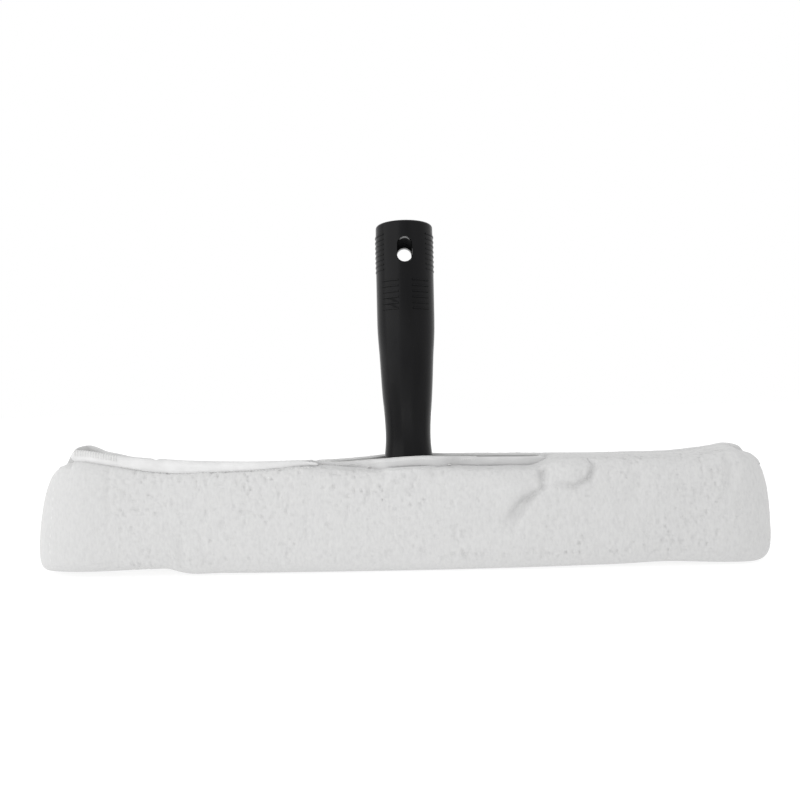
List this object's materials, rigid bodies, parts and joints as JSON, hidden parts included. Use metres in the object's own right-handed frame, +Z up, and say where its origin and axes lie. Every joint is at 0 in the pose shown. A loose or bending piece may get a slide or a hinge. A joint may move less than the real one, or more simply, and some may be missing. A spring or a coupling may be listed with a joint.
{
  "type": "window washer",
  "caption": "T-bar strip washer for windows: black tapered handle with a hang slot, its crossbar inside a white plush sleeve closed by a flap.",
  "frame": {"origin": "middle of the sleeve's flat base", "axes": "+X along the crossbar, +Z up along the handle, -Y the front"},
  "size_m": [0.45, 0.05, 0.208],
  "materials": {
    "handle_plastic": "satin moulded",
    "bar_plastic": "plain moulded",
    "steel": "zinc plated",
    "plush": "short dense pile",
    "backing": "plain weave",
    "binding": "smooth knit tape",
    "thread": "polyester thread",
    "closure_tape": "hook-and-loop tape"
  },
  "bodies": {
    "sleeve": {"plush_strip": "plush", "end_gusset_left": "plush", "end_gusset_right": "plush", "backing_strip": "backing", "seam_tape": "binding", "front_hem": "binding", "rear_hem": "binding", "loop_strip": "closure_tape", "front_overlock": "thread", "rear_overlock": "thread", "end_seam_left": "thread", "end_seam_right": "thread", "bar_tacks": "thread"},
    "tbar": {"handle": "handle_plastic", "crossbar": "bar_plastic", "handle_screw": "steel", "screw_washer": "steel", "end_cap_left": "bar_plastic", "end_cap_right": "bar_plastic"},
    "closure_flap": {"flap_panel": "binding", "hook_strip": "closure_tape", "flap_stitching": "thread"}
  },
  "joints": [
    {"name": "tool_lift", "type": "slide", "parent": "sleeve", "child": "tbar", "axis": [0, 0, 1], "range_m": [0, 0.06]},
    {"name": "flap_swing", "type": "hinge", "parent": "sleeve", "child": "closure_flap", "pos_m": [-0.1105, -0.0185, 0.064], "axis": [1, 0, 0], "range_deg": [0, 170]}
  ],
  "couplings": [
    {"joint": "flap_swing", "follows": "tool_lift", "rad_per_m": 49.4}
  ]
}
